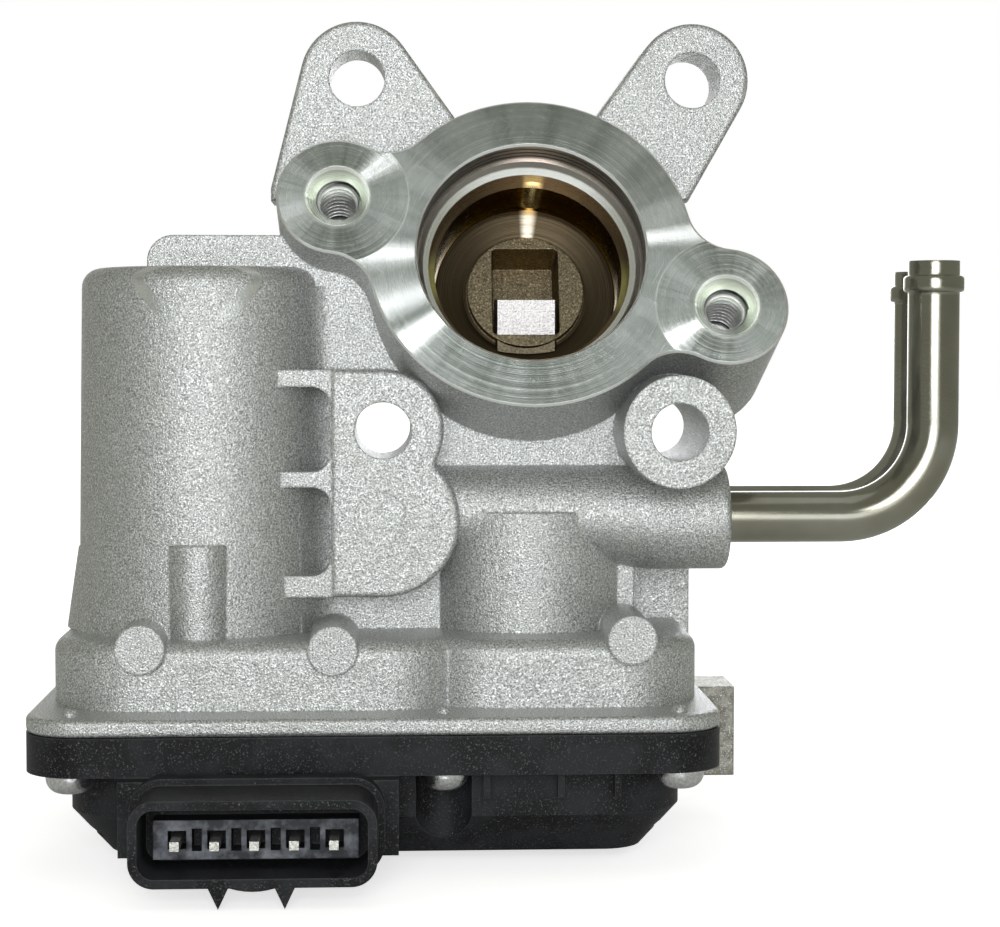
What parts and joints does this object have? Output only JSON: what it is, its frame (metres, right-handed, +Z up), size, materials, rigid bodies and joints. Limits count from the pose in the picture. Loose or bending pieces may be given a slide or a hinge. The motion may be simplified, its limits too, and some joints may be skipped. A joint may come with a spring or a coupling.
{
  "type": "egr valve",
  "caption": "Motor-driven butterfly EGR valve: die-cast body with a tilted gas port, geared actuator under a moulded cover, multi-pin socket and bent coolant pipes.",
  "frame": {"origin": "on the rear mounting face, midway between the two lower mounting holes", "axes": "+Z up along the valve shaft, -Y out of the front port side, +X towards the coolant pipes"},
  "size_m": [0.1451, 0.0812, 0.1279],
  "materials": {
    "cast_aluminium": "shot-blasted die casting with machined faces",
    "sleeve_steel": "turned stainless, heat tinted",
    "valve_steel": "cast stainless, heat tinted",
    "seal_ring_iron": "ground",
    "shaft_steel": "ground",
    "bush_bronze": "sintered",
    "seal_rubber": "moulded",
    "bearing_steel": "ground",
    "nylon": "glass-filled moulding",
    "spring_steel": "drawn wire",
    "ferrite": "sintered",
    "can_steel": "zinc plated",
    "core_steel": "laminated",
    "copper": "enamelled copper",
    "carbon": "pressed carbon",
    "screw_steel": "zinc plated dome heads",
    "terminal_tin": "tin plated",
    "black_plastic": "grained moulding",
    "pipe_chrome": "bright nickel plated tube"
  },
  "bodies": {
    "body": {"housing": "cast_aluminium", "port_sleeve": "sleeve_steel", "shaft_bush": "bush_bronze", "shaft_seal": "seal_rubber", "bearing_outer_race": "bearing_steel", "bearing_balls": "bearing_steel", "return_spring": "spring_steel", "idler_pin": "shaft_steel", "motor_can": "can_steel", "motor_bush": "bush_bronze", "field_magnets": "ferrite", "motor_brushes": "carbon", "motor_end_cap": "nylon", "motor_retainer": "can_steel", "retainer_screws": "screw_steel", "cover_gasket": "seal_rubber", "connector_terminals": "terminal_tin", "sensor_cover": "black_plastic", "hall_sensor": "nylon", "cover_screws": "screw_steel", "front_coolant_pipe": "pipe_chrome", "rear_coolant_pipe": "pipe_chrome"},
    "valve": {"valve_shaft": "shaft_steel", "valve_plate": "valve_steel", "plate_seal_ring": "seal_ring_iron", "bearing_inner_race": "bearing_steel", "spring_sleeve": "nylon", "sector_gear": "nylon", "magnet_yoke": "bearing_steel", "sensor_magnets": "ferrite"},
    "idler": {"idler_gear": "nylon"},
    "rotor": {"motor_shaft": "shaft_steel", "armature_core": "core_steel", "armature_windings": "copper", "commutator": "copper", "motor_pinion": "bush_bronze"}
  },
  "joints": [
    {"name": "valve_turn", "type": "hinge", "parent": "body", "child": "valve", "pos_m": [0.00045, -0.0052, 0], "axis": [0, 0, 1], "range_deg": [0, 85], "stiffness_Nm_per_rad": 0.05, "springref_deg": -17.19},
    {"name": "idler_spin", "type": "hinge", "parent": "body", "child": "idler", "pos_m": [-0.02602, -0.00651, 0], "axis": [0, 0, 1], "range_deg": [-262.5, 1]},
    {"name": "motor_spin", "type": "hinge", "parent": "body", "child": "rotor", "pos_m": [-0.05, -0.0056, 0], "axis": [0, 0, 1], "range_deg": [-1, 1167]}
  ],
  "couplings": [
    {"joint": "idler_spin", "follows": "valve_turn", "ratio": -3.0769},
    {"joint": "motor_spin", "follows": "valve_turn", "ratio": 13.706}
  ]
}
